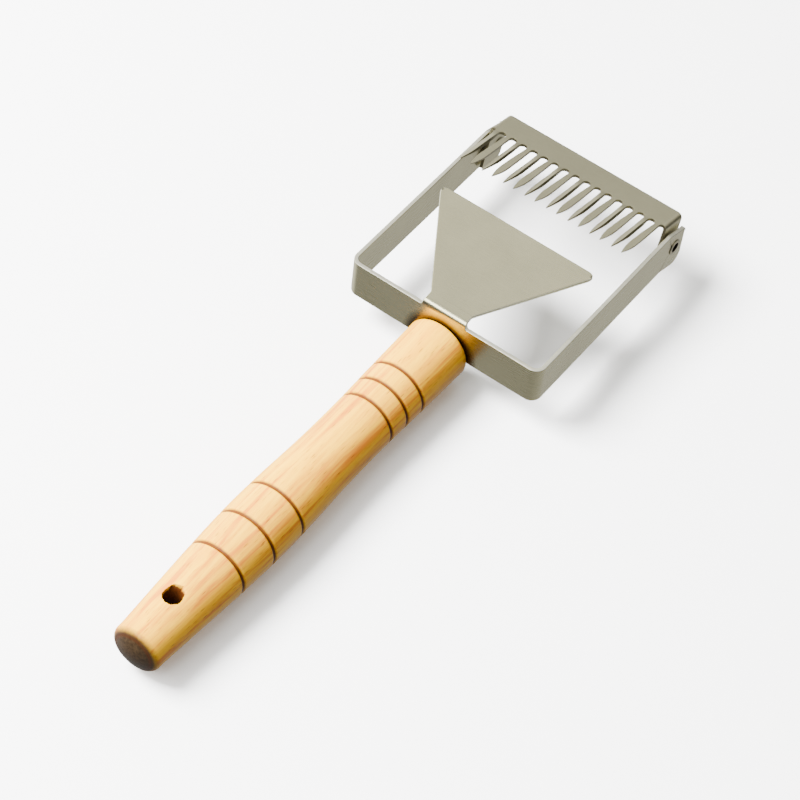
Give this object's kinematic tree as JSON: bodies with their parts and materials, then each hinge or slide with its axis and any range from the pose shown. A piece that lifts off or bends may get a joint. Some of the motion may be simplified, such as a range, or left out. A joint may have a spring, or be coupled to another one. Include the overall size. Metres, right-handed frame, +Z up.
{
  "type": "uncapping knife",
  "caption": "Honeycomb uncapping knife: steel strap frame with a scraper plate, a swinging needle comb and a turned, grooved wooden handle.",
  "frame": {"origin": "centre of the whole tool's bounding box with the comb at rest", "axes": "+Y from the handle's butt towards the comb, +Z up out of the scraper plate's side, +X to the right"},
  "size_m": [0.0878, 0.2824, 0.0412],
  "materials": {
    "satin_steel": "satin stainless sheet",
    "comb_steel": "satin stainless sheet",
    "rivet_steel": "drawn stainless tube",
    "screw_steel": "plain steel",
    "varnished_wood": "clear varnish over long open grain"
  },
  "bodies": {
    "frame": {"frame": "satin_steel", "pivot_rivet_left": "rivet_steel", "pivot_rivet_right": "rivet_steel", "handle": "varnished_wood", "handle_screw": "screw_steel", "screw_washer": "screw_steel"},
    "comb": {"needle_comb": "comb_steel"}
  },
  "joints": [
    {"name": "comb_swing", "type": "hinge", "parent": "frame", "child": "comb", "pos_m": [0, 0.13427, -0.00009], "axis": [1, 0, 0], "continuous": true}
  ]
}
